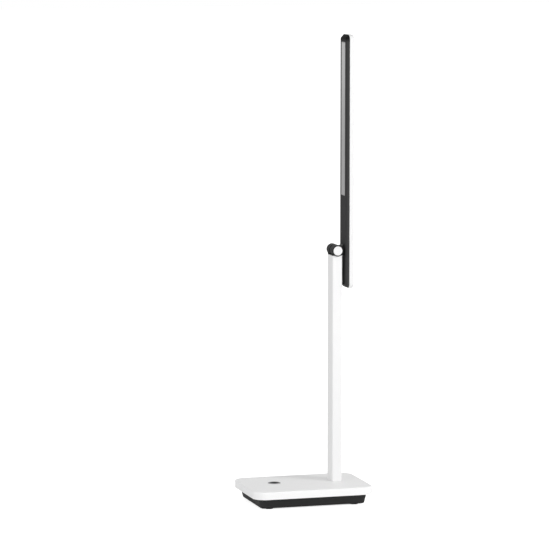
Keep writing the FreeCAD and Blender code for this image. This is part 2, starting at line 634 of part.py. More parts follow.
def make_base_plinth():
    body = new_body("base_plinth")
    slope = "atan(plinth_draft / (cover_bottom - foot_height))"
    pad(body, "skirt", "XY", "foot_height", "cover_bottom",
        base_outline("plinth_inset + plinth_draft"), taper=slope)
    pad(body, "rim", "XY", "cover_bottom", RIM_TOP, base_outline("cover_wall + flange_gap", cut_rectangle))
    pocket(body, "hollow", "XY", RIM_TOP, FLOOR_TOP,
           base_outline("plinth_inset + plinth_wall", cut_rectangle), taper=f"-{slope}")
    pad(body, "cover_posts", "XY", FLOOR_TOP, RIM_TOP, *prisms_at(POST_SIDES, "post_radius", COVER_SCREWS))
    pad(body, "stem_posts", "XY", FLOOR_TOP, SHORT_POST_TOP,
        *prisms_at(POST_SIDES, "post_radius", FOOT_SCREWS_IN_BASE))
    pad(body, "ballast_stops", "XY", FLOOR_TOP, f"{FLOOR_TOP} + stop_height", *ballast_stops())
    pad(body, "inlet_block", "XY", FLOOR_TOP, RIM_TOP,
        rectangle("inlet_block_width", "inlet_wall + 2", "-inlet_x", "inlet_face + 1 - inlet_wall / 2"))
    pocket(body, "inlet_recess", "XZ", "base_depth / 2 - plinth_inset + 1", "inlet_face",
           cut_rectangle("inlet_recess_width", "inlet_recess_height", "2", "-inlet_x", "inlet_height"))
    pocket(body, "inlet_hole", "XZ", "inlet_face", "inlet_face - inlet_wall - 0.2",
           many_sided(POST_SIDES, "inlet_neck + 0.1", "-inlet_x", "inlet_height"))
    screws = COVER_SCREWS + FOOT_SCREWS_IN_BASE
    pocket(body, "head_recesses", "XY", "foot_height", SEAT, *prisms_at(POST_SIDES, "recess_radius", screws))
    pocket(body, "cover_screw_holes", "XY", SEAT, RIM_TOP,
           *prisms_at(SCREW_SIDES, "cover_screw_radius + 0.3", COVER_SCREWS))
    pocket(body, "stem_screw_holes", "XY", SEAT, SHORT_POST_TOP,
           *prisms_at(SCREW_SIDES, "foot_screw_radius + 0.3", FOOT_SCREWS_IN_BASE))


def ballast_stops():
    """Ribs that stand round the steel weight, drawn on the plinth's floor."""
    front = "(ballast_depth / 2 + ballast_gap + rib_width / 2)"
    side = "(ballast_length / 2 + ballast_gap + rib_width / 2)"
    ribs = [rectangle("stop_length", "rib_width", x, f"{sign} * {front}")
            for x in ("-stop_place_x", "stop_place_x") for sign in (-1, 1)]
    return ribs + [rectangle("rib_width", "stop_length", f"{sign} * {side}") for sign in (-1, 1)]


def make_feet():
    places = {"foot_front_left": (-1, -1), "foot_front_right": (1, -1),
              "foot_rear_left": (-1, 1), "foot_rear_right": (1, 1)}
    for label, (side, end) in places.items():
        body = new_body(label, f"{side} * foot_place_x", f"{end} * foot_place_y")
        pad(body, "pad", "XY", "foot_height", "0", many_sided(FOOT_SIDES, "foot_radius"), taper="-foot_slope")


def make_ballast():
    body = new_body("ballast_plate")
    pad(body, "plate", "XY", FLOOR_TOP, BALLAST_TOP,
        cut_rectangle("ballast_length", "ballast_depth", "ballast_corner"))
    round_edges(body, "Chamfer", "upper_edge", "ballast_edge", lies_at("Z", BALLAST_TOP))
    pocket(body, "post_holes", "XY", FLOOR_TOP, BALLAST_TOP,
           *prisms_at(POST_SIDES, "ballast_hole", FOOT_SCREWS_IN_BASE))


# Stem


def spigot_outline():
    """Section of what is pushed into the stem tube."""
    inner = "(stem_wall + spigot_gap)"
    return cut_rectangle(f"stem_width - 2 * {inner}", f"stem_depth - 2 * {inner}", "spigot_edge")


def make_stem_foot():
    body = new_body("stem_foot", "stem_x", "stem_y")
    spigot_top = f"({CASTING_TOP} + spigot_height)"
    pad(body, "flange", "XY", BALLAST_TOP, CASTING_TOP,
        cut_rectangle("foot_flange_length", "foot_flange_depth", "foot_flange_corner"))
    pad(body, "bosses", "XY", CASTING_TOP, f"{CASTING_TOP} + foot_boss_height",
        *prisms_at(SCREW_SIDES, "foot_boss_radius", FOOT_SCREWS))
    pad(body, "spigot", "XY", CASTING_TOP, spigot_top, spigot_outline())
    round_edges(body, "Chamfer", "lead_in", "spigot_lead_in", lies_at("Z", spigot_top))
    inner = "(stem_wall + spigot_gap + spigot_wall)"
    pocket(body, "lead_way", "XY", BALLAST_TOP, spigot_top,
           rectangle(f"stem_width - 2 * {inner}", f"stem_depth - 2 * {inner}"))
    pocket(body, "lead_slot", "YZ", "-stem_width / 2", "0",
           rectangle("lead_slot_width + 0.6", "lead_slot_height + 2", "0", f"{CASTING_TOP} + lead_rise"))
    pocket(body, "tapped_holes", "XY", BALLAST_TOP, f"{CASTING_TOP} + foot_boss_height - 1",
           *prisms_at(SCREW_SIDES, "foot_screw_radius", FOOT_SCREWS))
    pocket(body, "lock_holes", "YZ", "stem_width / 2", "stem_width / 2 - 5.2",
           *[many_sided(SCREW_SIDES, "lock_screw_radius", y, f"{CASTING_TOP} + lock_screw_height")
             for y in LOCK_SCREWS])


def make_stem_tube():
    body = new_body("stem_tube", "stem_x", "stem_y")
    pad(body, "section", "XY", CASTING_TOP, STEM_TOP,
        rounded_rectangle("stem_width", "stem_depth", "stem_edge"))
    pocket(body, "inside", "XY", CASTING_TOP, STEM_TOP,
           rectangle("stem_width - 2 * stem_wall", "stem_depth - 2 * stem_wall"))
    pocket(body, "lead_slot", "YZ", "-stem_width / 2 - 1", "-stem_width / 2 + 3",
           rectangle("lead_slot_width", "lead_slot_height", "0", f"{CASTING_TOP} + lead_rise"))
    pocket(body, "lock_holes", "YZ", "stem_width / 2", "stem_width / 2 - 3",
           *[many_sided(SCREW_SIDES, "lock_screw_radius + 0.35", y, f"{CASTING_TOP} + lock_screw_height")
             for y in LOCK_SCREWS])


def make_base_screws():
    group("base_screws", [
        screw(f"cover_screw_{i}", "cover_head_radius", "cover_head_height", "cover_screw_radius",
              f"{RIM_TOP} + cover_screw_grip - {SEAT}", (x, y, SEAT))
        for i, (x, y) in enumerate(COVER_SCREWS)])
    group("stem_screws", [
        screw(f"stem_screw_{i}", "foot_head_radius", "foot_head_height", "foot_screw_radius",
              f"{CASTING_TOP} + foot_boss_height - 2 - {SEAT}", (x, y, SEAT))
        for i, (x, y) in enumerate(FOOT_SCREWS_IN_BASE)])
    group("stem_lock_screws", [
        screw(f"lock_screw_{i}", "small_head_radius", "small_head_height",
              "lock_screw_radius", "lock_screw_length",
              ("stem_x + stem_width / 2", f"stem_y + {y}", f"{CASTING_TOP} + lock_screw_height"), turn=-90)
        for i, y in enumerate(LOCK_SCREWS)])
    group("board_screws", [
        screw(f"board_screw_{i}", "small_head_radius", "small_head_height", "board_screw_radius",
              "board_thickness + 6", (x, y, "board_bottom"))
        for i, (x, y) in enumerate(BOARD_SCREWS)])


# Control board, switch and button


def make_control_board():
    body = new_body("control_board")
    pad(body, "card", "XY", "board_bottom", BOARD_TOP,
        rectangle("board_length", "board_depth", "-board_x", "board_y"))
    pocket(body, "fixing_holes", "XY", "board_bottom", BOARD_TOP,
           *prisms_at(SCREW_SIDES, "board_screw_radius + 0.1", BOARD_SCREWS))


def make_board_parts():
    switch = new_body("tact_switch", "-button_x", "stem_y", BOARD_TOP)
    pad(switch, "case", "XY", "0", SWITCH_HEIGHT, rectangle("switch_size", "switch_size"))
    bore = "plunger_width + 2 * plunger_gap"
    pocket(switch, "plunger_bore", "XY", SWITCH_HEIGHT, "1", rectangle(bore, bore))
    coil = new_body("driver_inductor", "-parts_x", "-4", BOARD_TOP)
    upper = "(coil_height - coil_flange)"
    pad(coil, "flange", "XY", "0", "coil_flange", many_sided(POST_SIDES, "coil_radius"))
    pad(coil, "winding", "XY", "coil_flange", upper, many_sided(POST_SIDES, "coil_waist"))
    pad(coil, "upper_flange", "XY", upper, "coil_height", many_sided(POST_SIDES, "coil_radius"))
    can = new_body("driver_capacitor", "-parts_x", "13", BOARD_TOP)
    pad(can, "seal", "XY", "0", "can_seal", many_sided(POST_SIDES, "can_radius - 0.4"))
    pad(can, "can", "XY", "can_seal", "can_height", many_sided(POST_SIDES, "can_radius"))
    plain_box("driver_chip", ("chip_length", "chip_width", "chip_height"), ("-parts_x", "-18", BOARD_TOP))
    plain_box("lead_socket", ("socket_length", "socket_width", "socket_height"), ("-17", "stem_y", BOARD_TOP))


def make_button():
    body = new_body("button_cap", "-button_x", "stem_y")
    rim_low, rim_high = f"{ROOF_UNDER} - 1.1", f"{ROOF_UNDER} - 0.1"
    top = f"({COVER_TOP} + button_proud)"
    pad(body, "cap", "XY", rim_low, top, circle("button_radius"))
    round_edges(body, "Chamfer", "edge", "button_edge", lies_at("Z", top))
    pad(body, "rim", "XY", rim_low, rim_high, many_sided(WASHER_SIDES, "button_radius + button_rim"))
    pad(body, "stalk", "XY", rim_low, STALK_END, many_sided(SCREW_SIDES, "button_stalk"))
    border = "(button_radius - button_border)"
    pocket(body, "dish", "XY", top, f"{top} - button_dish", circle(border),
           taper=f"-atan(({border} - button_middle) / button_dish)")
    plunger = new_body("switch_plunger", "-button_x", "stem_y", BOARD_TOP)
    pad(plunger, "key", "XY", "2.2", f"{STALK_END} - {BOARD_TOP}",
        rectangle("plunger_width", "plunger_width"))


# Power inlet


def make_inlet():
    body = new_body("dc_inlet", "-inlet_x", "inlet_face", "inlet_height")
    pad(body, "neck", "XZ", "-inlet_depth - 1.6", "0", many_sided(POST_SIDES, "inlet_neck"))
    pad(body, "collar", "XZ", "0", "inlet_collar", circle("inlet_radius"))
    pocket(body, "socket", "XZ", "inlet_collar", "-inlet_depth", circle("inlet_bore"))
    pad(body, "pin", "XZ", "-inlet_depth", "-0.6", many_sided(SCREW_SIDES, "inlet_pin"))
    nut = new_body("dc_inlet_nut", "-inlet_x", "inlet_face", "inlet_height")
    far_side = "-inlet_wall - inlet_nut_height"
    pad(nut, "hex", "XZ", far_side, "-inlet_wall", hexagon("inlet_nut_width"))
    pocket(nut, "thread", "XZ", far_side, "-inlet_wall", many_sided(POST_SIDES, "inlet_neck"))


# Hinge: head on the stem, pin, washers and caps

CAP_SEAT = "(barrel_half - cap_height)"
HEAD_SEAT = "(barrel_half - cap_height - axle_head_height)"
PIN_BORE = f"((axle_radius + pin_gap) / cos(180 / {WASHER_SIDES}))"


def make_stem_head():
    body = hinge_body("stem_head")
    pad(body, "plug", "XY", "-pivot_drop - head_plug", "-pivot_drop", spigot_outline())
    pad(body, "shoulders", "XY", "-pivot_drop", "0",
        rounded_rectangle("stem_width", "stem_depth", "stem_edge"))
    pad(body, "barrel", "XZ", "-barrel_half", "barrel_half", circle("barrel_radius"))
    tube_inside = "(stem_depth / 2 - stem_wall - spigot_gap)"
    edges = [rectangle(f"stem_depth / 2 - {tube_inside} + 0.2", "3",
                       f"{side} * (stem_depth / 2 + {tube_inside} + 0.2) / 2", "-pivot_drop - 1.5")
             for side in (-1, 1)]
    pocket(body, "tube_seat", "YZ", "-stem_width", "stem_width", *edges)
    gap, gap_middle = "(ear_front_gap + ear_rear_gap)", "((ear_rear_gap - ear_front_gap) / 2)"
    pocket(body, "fork_gap", "YZ", "-stem_width", "stem_width",
           rectangle(gap, "pivot_drop + 2 * barrel_radius", gap_middle, "barrel_radius - pivot_drop / 2"))
    pocket(body, "cradle", "XZ", "-ear_front_gap", "ear_rear_gap", circle("cradle_radius"))
    pocket(body, "pin_bore", "XZ", "-barrel_half", "barrel_half", many_sided(WASHER_SIDES, PIN_BORE))
    pocket(body, "front_seat", "XZ", "-barrel_half", f"-{HEAD_SEAT}", circle("cap_radius + cap_gap"))
    pocket(body, "rear_seat", "XZ", "barrel_half", CAP_SEAT, circle("cap_radius + cap_gap"))
    pocket(body, "nut_seat", "XZ", CAP_SEAT, HEAD_SEAT, hexagon("nut_width + 0.2"))
    pocket(body, "lead_bore", "XY", "-pivot_drop - head_plug", "-pivot_drop", many_sided(SCREW_SIDES, "2.4"))


def make_hinge_pin():
    pin = hinge_body("hinge_axle")
    pad(pin, "shank", "XZ", f"-{HEAD_SEAT}", HEAD_SEAT, circle("axle_radius"))
    pad(pin, "head", "XZ", f"-{CAP_SEAT} + 0.1", f"-{HEAD_SEAT}", circle("axle_head_radius"))
    pad(pin, "thread", "XZ", HEAD_SEAT, f"{CAP_SEAT} - 0.1", many_sided(SCREW_SIDES, "thread_radius"))
    pocket(pin, "key_socket", "XZ", f"-{CAP_SEAT} + 0.1", f"-{CAP_SEAT} + 0.1 + key_depth",
           hexagon("key_width"))
    nut = hinge_body("hinge_nut")
    pad(nut, "hex", "XZ", HEAD_SEAT, f"{CAP_SEAT} - 0.2", hexagon("nut_width"))
    pocket(nut, "thread", "XZ", HEAD_SEAT, f"{CAP_SEAT} - 0.2", many_sided(SCREW_SIDES, "thread_radius"))


def washer(label, radius, start, end):
    """Flat ring on the hinge pin. The flats of its many-sided bore run clear of the pin."""
    body = hinge_body(label)
    pad(body, "disc", "XZ", start, end, many_sided(WASHER_SIDES, radius))
    pocket(body, "bore", "XZ", start, end, many_sided(WASHER_SIDES, PIN_BORE))


def make_hinge_stack():
    rear_face = "(knuckle_half + washer_gap + rear_washer_height)"
    washer("friction_washer_front", "washer_radius", "-ear_front_gap", "-knuckle_half - washer_gap")
    washer("friction_washer_rear", "washer_radius", "knuckle_half + washer_gap", rear_face)
    washer("disc_spring", "disc_radius", rear_face, "ear_rear_gap")
    bush = hinge_body("hinge_bush")
    pad(bush, "sleeve", "XZ", "-knuckle_half", "knuckle_half", many_sided(POST_SIDES, "bush_radius"))
    pocket(bush, "bore", "XZ", "-knuckle_half", "knuckle_half", many_sided(WASHER_SIDES, PIN_BORE))


def make_caps():
    for label, side in (("front_cap", -1), ("rear_cap", 1)):
        cap = hinge_body(label)
        seat, face = f"{side} * {CAP_SEAT}", f"{side} * barrel_half"
        pad(cap, "disc", "XZ", seat, face, circle("cap_radius"))
        pad(cap, "crown", "XZ", face, f"{side} * (barrel_half + cap_proud)", circle("cap_radius"),
            taper="-atan(cap_slope / cap_proud)")


# Knuckle: barrel, neck and block in one moulding, with a channel for the lead


def make_knuckle():
    body = hinge_body("arm_knuckle")
    pad(body, "barrel", "XZ", "-knuckle_half", "knuckle_half", circle("barrel_radius"))
    flare, foot = "barrel_radius + 0.2", "arm_offset - 1.4"
    pad(body, "neck", "XZ", "-knuckle_half", "knuckle_half", polygon(
        ("0", "-neck_half"), (flare, "-neck_half"), (foot, "-neck_foot_half"),
        (TRAY_FLOOR, "-neck_foot_half"), (TRAY_FLOOR, "neck_foot_half"),
        (foot, "neck_foot_half"), (flare, "neck_half"), ("0", "neck_half")))
    pad(body, "block", "YZ", TRAY_FLOOR, SPINE, rectangle("neck_block_width", "2 * neck_block_half"))
    pocket(body, "bush_bore", "XZ", "-knuckle_half", "knuckle_half", many_sided(POST_SIDES, "bush_radius"))
    pocket(body, "lead_groove", "XZ", "-groove_half", "groove_half",
           ring_sector("bush_radius + 0.5", "barrel_radius + 1", 80, 306))
    pocket(body, "lead_channel", "XZ", "-groove_half", "groove_half", polygon(
        ("2.4", "-8"), ("4.6", "-7"), ("8", "-4.8"), ("15", "2"), (f"{SPINE} - 0.8", "9"),
        (f"{SPINE} - 0.8", "neck_block_half + 1"), (f"{TRAY_FLOOR} + 0.6", "neck_block_half + 1"),
        ("11.6", "4"), ("6.4", "-0.6"), ("4.6", "-2.6"), ("2.8", "-4.2")))
    pocket(body, "screw_holes", "YZ", SPINE, f"{SPINE} - 4.4",
           *prisms_at(SCREW_SIDES, "arm_screw_radius", NECK_SCREWS))


# Arm


def make_arm_tray():
    body = hinge_body("arm_tray")
    pad(body, "skirt", "YZ", "arm_offset", SPLIT, arm_outline("tray_height"), taper="45")
    pocket(body, "hollow", "YZ", SPLIT, TRAY_FLOOR, arm_outline("tray_wall", cut_rectangle), taper="-45")
    outer, inner = "shell_wall + lip_gap", "shell_wall + lip_gap + lip_wall"
    pad(body, "lip", "YZ", SPLIT, f"{SPLIT} + lip_height",
        arm_outline(outer, cut_rectangle), arm_outline(inner, cut_rectangle))
    pocket(body, "lens_window", "YZ", "arm_offset", TRAY_FLOOR,
           rounded_rectangle("lens_width + 2 * lens_gap", "lens_length + 2 * lens_gap",
                             "lens_corner + lens_gap", y=LENS_MIDDLE))
    pocket(body, "neck_window", "YZ", "arm_offset", TRAY_FLOOR,
           rectangle("2 * knuckle_half + 0.3", "2 * neck_foot_half + 0.3"))


def make_arm_shell():
    body = hinge_body("arm_shell")
    pad(body, "slab", "YZ", SPLIT, ARM_BACK, arm_outline("0"))
    round_edges(body, "Chamfer", "back_edge", "shell_edge", lies_at("X", ARM_BACK))
    inside = f"({ARM_BACK} - shell_roof)"
    pocket(body, "hollow", "YZ", SPLIT, inside, arm_outline("shell_wall", cut_rectangle))
    width = "arm_width - 2 * shell_wall + 0.4"
    ribs = [rectangle(width, "rib_width", "0", str(z)) for z in SHELL_RIBS]
    pad(body, "ribs", "YZ", inside, SPINE_BACK, *ribs)
    pad(body, "screw_bosses", "YZ", inside, SPINE_BACK,
        *prisms_at(SCREW_SIDES, "shell_boss_radius", SHELL_SCREWS))
    pocket(body, "pilots", "YZ", SPINE_BACK, f"{inside} + 0.4",
           *prisms_at(SCREW_SIDES, "arm_screw_radius", SHELL_SCREWS))


def make_spine():
    body = hinge_body("arm_spine")
    length, middle = "(spine_end + spine_start)", "((spine_end - spine_start) / 2)"
    pad(body, "web", "YZ", SPINE, SPINE_BACK, rectangle("spine_width", length, y=middle))
    lips = [rectangle("spine_lip", f"{length} - 6", f"{side} * (spine_width - spine_lip) / 2", middle)
            for side in (-1, 1)]
    pad(body, "lips", "YZ", SPINE, f"{SPINE} - reflector_height", *lips)
    holes = prisms_at(SCREW_SIDES, "arm_screw_radius + 0.2", NECK_SCREWS + SHELL_SCREWS)
    pocket(body, "screw_holes", "YZ", SPINE, SPINE_BACK, *holes)


def make_lights():
    board = hinge_body("led_board")
    pad(board, "strip", "YZ", BOARD, SPINE, rectangle("board_width", "lens_length - 2", y=LENS_MIDDLE))
    count = 14
    lights = []
    for i in range(count):
        for side in (-1, 1):
            light = doc.addObject("Part::Box", f"light_{i}_{side + 1}")
            bind(light, "Length", "light_height")
            bind(light, "Width", "light_width")
            bind(light, "Height", "light_length")
            bind(light, "Placement.Base.x", f"stem_x + {BOARD} - light_height")
            bind(light, "Placement.Base.y", f"stem_y + {side} * light_rows_half - light_width / 2")
            bind(light, "Placement.Base.z",
                 f"pivot_height + {LENS_MIDDLE} + ({i} - {count - 1} / 2) * light_pitch - light_length / 2")
            lights.append(light)
    group("leds", lights)
    rim_length = "(lens_length + 2 * lens_flange)"
    trough = hinge_body("reflector")
    pad(trough, "frame", "YZ", REFLECTOR, BOARD, rectangle("reflector_width", rim_length, y=LENS_MIDDLE))
    pocket(trough, "mirror_walls", "YZ", BOARD, REFLECTOR,
           rectangle("trough_width", "lens_length - 2 * trough_end", y=LENS_MIDDLE), taper="45")
    lens = hinge_body("diffuser")
    pad(lens, "rim", "YZ", REFLECTOR, TRAY_FLOOR,
        rectangle("lens_width + 2 * lens_flange", rim_length, y=LENS_MIDDLE))
    pad(lens, "window", "YZ", TRAY_FLOOR, "arm_offset - lens_proud",
        rounded_rectangle("lens_width", "lens_length", "lens_corner", y=LENS_MIDDLE))
    round_edges(lens, "Chamfer", "soft_edge", "lens_edge", lies_at("X", "arm_offset - lens_proud"))


def make_arm_screws():
    sizes = ("arm_screw_head", "arm_screw_height", "arm_screw_radius")
    group("knuckle_screws", [
        screw(f"knuckle_screw_{i}", *sizes, "5.6",
              (f"stem_x + {SPINE_BACK}", f"stem_y + {y}", f"pivot_height + {z}"), turn=-90)
        for i, (y, z) in enumerate(NECK_SCREWS)])
    group("shell_screws", [
        screw(f"shell_screw_{i}", *sizes, "4",
              (f"stem_x + {SPINE}", f"stem_y + {y}", f"pivot_height + {z}"), turn=90)
        for i, (y, z) in enumerate(SHELL_SCREWS)])


# Leads: flat, with straight runs joined by tangent arcs


def lead(label, width, height, points, bend):
    """Flat lead through points in one upright plane, with one bend radius for every turn."""
    edges = []
    start = points[0]
    for before, corner, after in zip(points, points[1:], points[2:]):
        into = (corner - before).normalize()
        out = (after - corner).normalize()
        turn = into.getAngle(out)
        reach = bend * math.tan(turn / 2)
        first, last = corner - into * reach, corner + out * reach
        middle = corner + (out - into).normalize() * (bend / math.cos(turn / 2) - bend)
        edges.append(Part.LineSegment(start, first).toShape())
        edges.append(Part.Arc(first, middle, last).toShape())
        start = last
    edges.append(Part.LineSegment(start, points[-1]).toShape())
    path = Part.Wire(edges)
    side = Vector(0, width / 2, 0)
    up = (points[1] - points[0]).normalize().cross(Vector(0, 1, 0)) * (height / 2)
    corners = [points[0] + side * a + up * b for a, b in ((-1, -1), (1, -1), (1, 1), (-1, 1))]
    section = Part.makePolygon(corners + corners[:1])
    tube = path.makePipeShell([section], True, False)
    error = tube.Volume / (width * height * path.Length) - 1
    print(f"{label}: length {path.Length:.1f}, bends of radius {bend}, volume off by {error:.4%}")
    node = doc.addObject("Part::Feature", label)
    node.Label = label
    node.Shape = tube
    NODES.append(node)


def make_leads():
    stem_x, stem_y, axis = value("stem_x"), value("stem_y"), value("pivot_height")
    height = value(f"{CASTING_TOP} + lead_rise")
    lead("stem_lead", value("stem_lead_width"), value("stem_lead_height"), [
        Vector(-14, stem_y, height), Vector(stem_x, stem_y, height),
        Vector(stem_x, stem_y, axis - value("cradle_radius"))], 8)
    route = [(-0.6, -6.2), (4.0, -5.4), (9.2, -0.8), (14.0, 3.6), (16.9, 11.0), (17.0, 80.0)]
    places = [Vector(stem_x + out, stem_y, axis + along) for out, along in route]
    lead("arm_lead", value("arm_lead_width"), value("arm_lead_height"), places, 4)


def check_and_write():
    """Stop on any failed object, then write one file for each node."""
    doc.recompute()
    for thing in doc.Objects:
        if "Invalid" in thing.State or "Error" in thing.State:
            raise RuntimeError(f"{thing.Name} failed: {thing.State}")
    for node in NODES:
        shape = node.Shape
        if shape.isNull() or not shape.isValid():
            raise RuntimeError(f"{node.Label} has no valid shape")
        if node.TypeId == "PartDesign::Body" and len(shape.Solids) != 1:
            raise RuntimeError(f"{node.Label} is not one solid")
    os.makedirs("parts", exist_ok=True)
    for node in NODES:
        node.Shape.exportStep(f"parts/{node.Label}.step")
    print(f"{len(NODES)} nodes written")


make_base_cover()
make_base_plinth()
make_feet()
make_ballast()
make_stem_foot()
make_stem_tube()
make_base_screws()
make_control_board()
make_board_parts()
make_button()
make_inlet()
make_stem_head()
make_hinge_pin()
make_hinge_stack()
make_caps()
make_knuckle()
make_arm_tray()
make_arm_shell()
make_spine()
make_lights()
make_arm_screws()
make_leads()
check_and_write()
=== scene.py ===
"""Bedside lamp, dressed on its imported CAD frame: materials, floor, soft studio light and the photograph's camera."""
import bmesh
import bpy
import json
import math
from mathutils import Matrix, Vector

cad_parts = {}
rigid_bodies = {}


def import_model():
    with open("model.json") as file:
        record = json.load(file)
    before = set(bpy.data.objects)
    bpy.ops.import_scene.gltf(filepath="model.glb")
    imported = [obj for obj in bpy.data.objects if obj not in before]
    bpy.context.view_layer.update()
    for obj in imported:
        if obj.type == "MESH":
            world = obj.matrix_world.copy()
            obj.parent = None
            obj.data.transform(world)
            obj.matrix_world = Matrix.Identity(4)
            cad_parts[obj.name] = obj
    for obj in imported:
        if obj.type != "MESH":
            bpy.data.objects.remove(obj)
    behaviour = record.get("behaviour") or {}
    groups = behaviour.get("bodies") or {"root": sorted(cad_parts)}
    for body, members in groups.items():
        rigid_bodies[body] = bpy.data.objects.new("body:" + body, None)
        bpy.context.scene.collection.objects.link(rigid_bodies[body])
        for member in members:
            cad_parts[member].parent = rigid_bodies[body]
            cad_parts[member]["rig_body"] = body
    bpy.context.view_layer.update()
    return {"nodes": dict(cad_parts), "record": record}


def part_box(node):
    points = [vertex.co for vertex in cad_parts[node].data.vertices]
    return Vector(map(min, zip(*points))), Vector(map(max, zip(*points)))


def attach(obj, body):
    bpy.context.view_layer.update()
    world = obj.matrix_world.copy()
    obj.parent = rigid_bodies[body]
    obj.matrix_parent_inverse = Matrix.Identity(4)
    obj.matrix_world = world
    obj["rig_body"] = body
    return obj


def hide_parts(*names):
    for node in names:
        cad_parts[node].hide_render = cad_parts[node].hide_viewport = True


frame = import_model()
scene = bpy.context.scene
nodes = frame["nodes"]

# Camera: a long lens a little to the left of the front and slightly above

IMAGE_SIDE = 550
FOCAL_PIXELS = 3500.0
DISTANCE = 5.44
TURN, TILT, ROLL = 0.288, 0.123, 0.0
AIM = Vector((-0.04626, 0.0, 0.35929))


def add_camera():
    back = Vector((-math.sin(TURN) * math.cos(TILT), -math.cos(TURN) * math.cos(TILT), math.sin(TILT)))
    right = Vector((math.cos(TURN), -math.sin(TURN), 0.0))
    up = back.cross(right)
    turned_right = right * math.cos(ROLL) + up * math.sin(ROLL)
    turned_up = up * math.cos(ROLL) - right * math.sin(ROLL)
    data = bpy.data.cameras.new("camera")
    data.sensor_width = 36.0
    data.lens = data.sensor_width * FOCAL_PIXELS / IMAGE_SIDE
    data.clip_end = 50.0
    camera = bpy.data.objects.new("camera", data)
    axes = Matrix((turned_right, turned_up, back)).transposed()
    camera.matrix_world = Matrix.Translation(AIM + back * DISTANCE) @ axes.to_4x4()
    scene.collection.objects.link(camera)
    scene.camera = camera


# Materials: every colour, roughness and relief comes from nodes in the object's own coordinates


class Paint:
    """Node tree of one material, with small helpers."""

    def __init__(self, name):
        self.material = bpy.data.materials.new(name)
        self.material.use_nodes = True
        self.tree = self.material.node_tree
        self.shader = self.tree.nodes["Principled BSDF"]
        self.place = self.add("ShaderNodeTexCoord").outputs["Object"]

    def add(self, kind, **settings):
        node = self.tree.nodes.new(kind)
        for key, setting in settings.items():
            setattr(node, key, setting)
        return node

    def join(self, source, target):
        self.tree.links.new(source, target)

    def noise(self, scale, detail=2.0, rough=0.5, stretch=(1, 1, 1)):
        mapping = self.add("ShaderNodeMapping")
        mapping.inputs["Scale"].default_value = stretch
        self.join(self.place, mapping.inputs["Vector"])
        node = self.add("ShaderNodeTexNoise")
        node.inputs["Scale"].default_value = scale
        node.inputs["Detail"].default_value = detail
        node.inputs["Roughness"].default_value = rough
        self.join(mapping.outputs["Vector"], node.inputs["Vector"])
        return node.outputs["Fac"]

    def ramp(self, source, stops):
        node = self.add("ShaderNodeValToRGB")
        elements = node.color_ramp.elements
        while len(elements) < len(stops):
            elements.new(0.5)
        for element, (position, colour) in zip(elements, stops):
            element.position = position
            element.color = (*colour, 1.0)
        self.join(source, node.inputs["Fac"])
        return node.outputs["Color"]

    def span(self, source, low, high, from_low=0.3, from_high=0.7):
        node = self.add("ShaderNodeMapRange")
        for key, number in (("From Min", from_low), ("From Max", from_high), ("To Min", low), ("To Max", high)):
            node.inputs[key].default_value = number
        self.join(source, node.inputs["Value"])
        return node.outputs["Result"]

    def math(self, operation, first, second=None):
        node = self.add("ShaderNodeMath", operation=operation)
        for socket, given in zip(node.inputs, (first, second)):
            if given is None:
                continue
            if isinstance(given, (int, float)):
                socket.default_value = given
            else:
                self.join(given, socket)
        return node.outputs["Value"]

    def mix(self, factor, first, second, blend="MIX"):
        node = self.add("ShaderNodeMix", data_type="RGBA", blend_type=blend)
        sockets = [node.inputs[0], node.inputs[6], node.inputs[7]]
        for socket, given in zip(sockets, (factor, first, second)):
            if isinstance(given, (int, float)):
                socket.default_value = given
            elif isinstance(given, tuple):
                socket.default_value = (*given, 1.0)
            else:
                self.join(given, socket)
        return node.outputs[2]

    def bump(self, height, distance, strength=1.0, under=None):
        node = self.add("ShaderNodeBump")
        node.inputs["Strength"].default_value = strength
        node.inputs["Distance"].default_value = distance
        self.join(height, node.inputs["Height"])
        if under is not None:
            self.join(under, node.inputs["Normal"])
        return node.outputs["Normal"]

    def connect(self, **links):
        for key, source in links.items():
            self.join(source, self.shader.inputs[key.replace("_", " ")])

    def constant(self, **numbers):
        for key, number in numbers.items():
            self.shader.inputs[key.replace("_", " ")].default_value = number


def grey(level):
    return (level, level, level)


def moulded(name, dark, light, roughness, grain=900.0, relief=0.00002, warm=(1.0, 1.0, 1.0), specular=0.5):
    """Moulded plastic: fine grain, slow flow shading and slightly uneven gloss."""
    paint = Paint(name)
    flow = paint.noise(9.0, 3.0, 0.6)
    fine = paint.noise(grain, 2.0, 0.55)
    tone = [tuple(level * tint for tint in warm) for level in (dark, light)]
    colour = paint.ramp(flow, [(0.3, tone[0]), (0.7, tone[1])])
    speck = paint.ramp(fine, [(0.35, grey(0.965)), (0.65, grey(1.0))])
    blend = paint.mix(1.0, colour, speck, "MULTIPLY")
    smudge = paint.noise(34.0, 4.0, 0.6)
    gloss = paint.math("ADD", paint.span(smudge, roughness - 0.05, roughness + 0.06), paint.span(fine, -0.03, 0.03))
    normal = paint.bump(fine, relief, 0.6)
    paint.connect(Base_Color=blend, Roughness=gloss, Normal=normal)
    paint.constant(Specular_IOR_Level=specular)
    return paint


